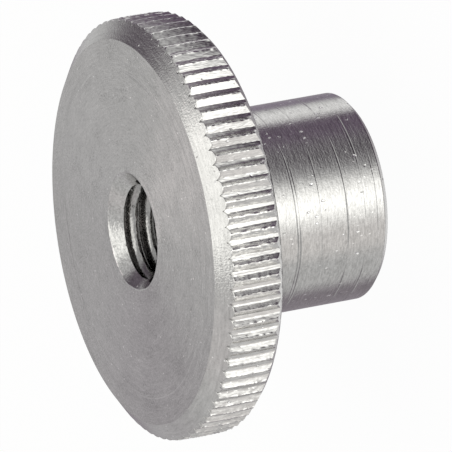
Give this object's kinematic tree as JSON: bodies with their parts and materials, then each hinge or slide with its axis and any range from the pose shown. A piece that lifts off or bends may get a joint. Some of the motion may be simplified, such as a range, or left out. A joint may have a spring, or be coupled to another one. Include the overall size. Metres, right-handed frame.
{
  "type": "knurled thumb nut",
  "caption": "Turned steel thumb nut: a thin straight-knurled disc head on a plain round hub, tapped right through, turned and tightened by hand.",
  "frame": {"origin": "centre of the hub's round bearing face, at the bottom of the nut", "axes": "+Z along the thread's axis, from the bearing face to the head's flat face; +X through the tip of one knurl tooth"},
  "size_m": [0.024, 0.024, 0.0145],
  "materials": {
    "stainless_steel": "turned bright, fine circular tool marks, straight knurl round the rim"
  },
  "bodies": {
    "root": {"thumb_nut": "stainless_steel"}
  },
  "joints": []
}
